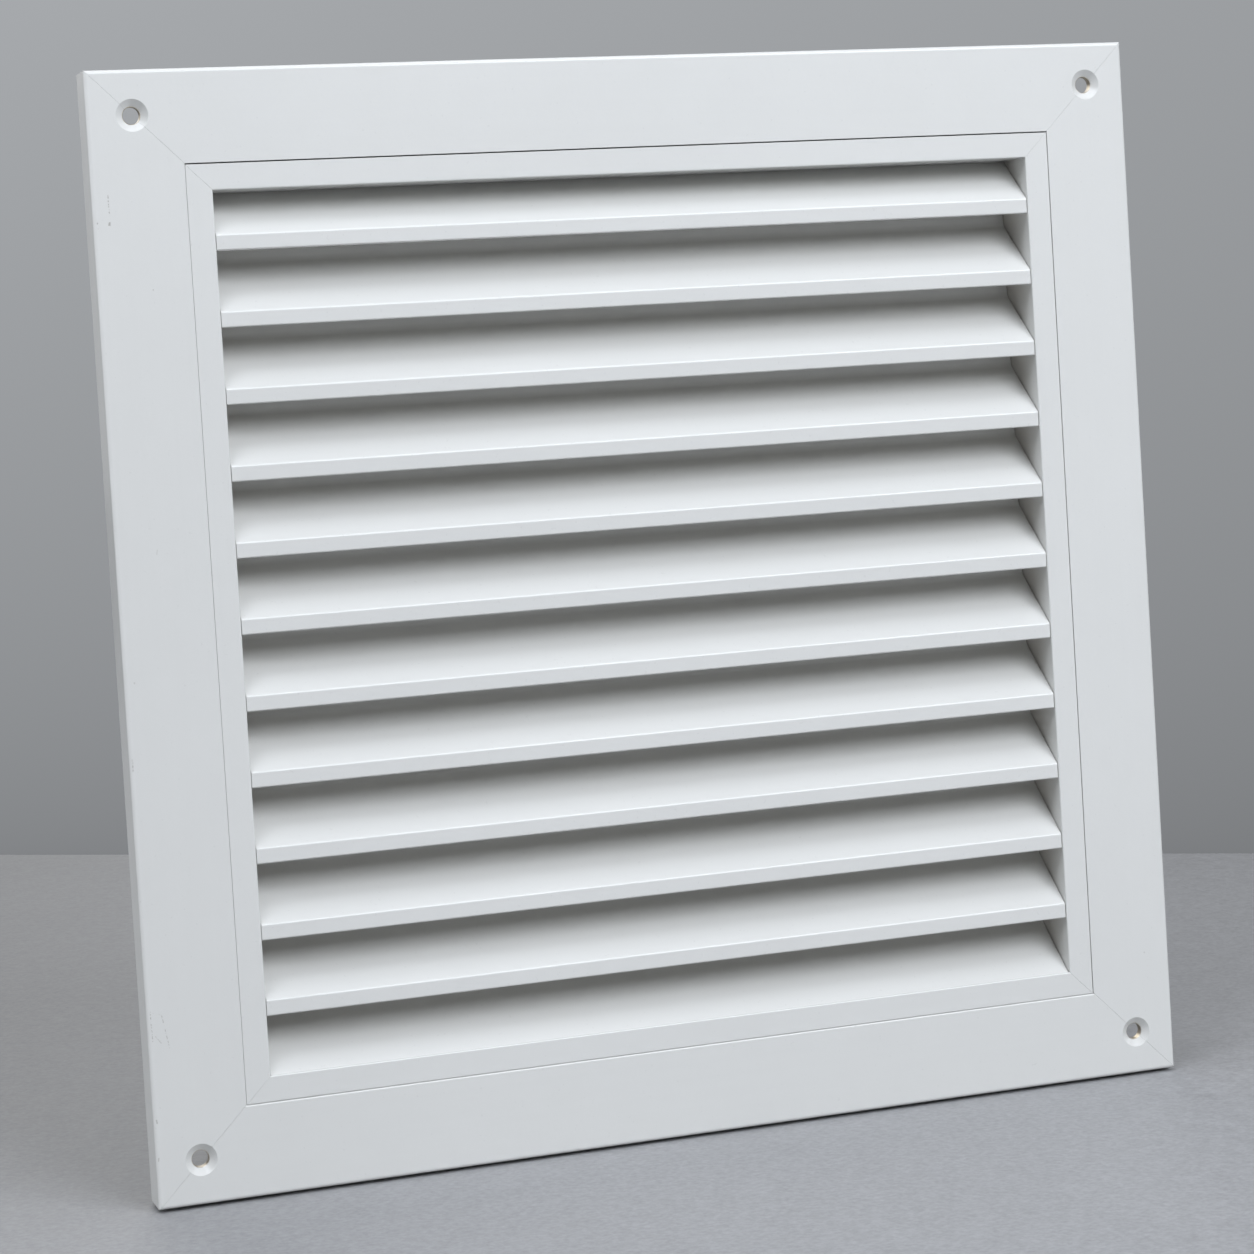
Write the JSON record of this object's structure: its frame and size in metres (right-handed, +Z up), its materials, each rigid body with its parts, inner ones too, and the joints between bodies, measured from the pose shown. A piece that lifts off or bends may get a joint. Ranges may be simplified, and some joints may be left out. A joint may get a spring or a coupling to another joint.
{
  "type": "return air grille",
  "caption": "Square return air grille: a mitred wall frame with countersunk corner holes round a clip-in core of fixed sloping blades.",
  "frame": {"origin": "midway between the four corner screw holes, in the plane where their countersinks end, 2 mm behind the front face", "axes": "+Z up, -Y out of the front face into the room, +X to the right seen from the room"},
  "size_m": [0.3, 0.03, 0.3],
  "materials": {
    "frame_paint": "satin white powder coat on extruded aluminium",
    "core_paint": "satin white powder coat on extruded aluminium",
    "blade_paint": "satin white powder coat on extruded aluminium",
    "frame_key_steel": "yellow passivated zinc plate",
    "core_key_aluminium": "mill finish",
    "screw_steel": "bright zinc plate",
    "clip_steel": "bright spring steel"
  },
  "bodies": {
    "root": {"frame_top": "frame_paint", "frame_bottom": "frame_paint", "frame_left": "frame_paint", "frame_right": "frame_paint", "frame_key_top_left": "frame_key_steel", "frame_key_top_right": "frame_key_steel", "frame_key_bottom_left": "frame_key_steel", "frame_key_bottom_right": "frame_key_steel", "core_top": "core_paint", "core_bottom": "core_paint", "core_left": "core_paint", "core_right": "core_paint", "core_key_top_left": "core_key_aluminium", "core_key_top_right": "core_key_aluminium", "core_key_bottom_left": "core_key_aluminium", "core_key_bottom_right": "core_key_aluminium", "blade_01": "blade_paint", "blade_02": "blade_paint", "blade_03": "blade_paint", "blade_04": "blade_paint", "blade_05": "blade_paint", "blade_06": "blade_paint", "blade_07": "blade_paint", "blade_08": "blade_paint", "blade_09": "blade_paint", "blade_10": "blade_paint", "blade_11": "blade_paint", "blade_12": "blade_paint", "blade_screws_left": "screw_steel", "blade_screws_right": "screw_steel", "clip_top_left": "clip_steel", "clip_top_right": "clip_steel", "clip_bottom_left": "clip_steel", "clip_bottom_right": "clip_steel"}
  },
  "joints": []
}
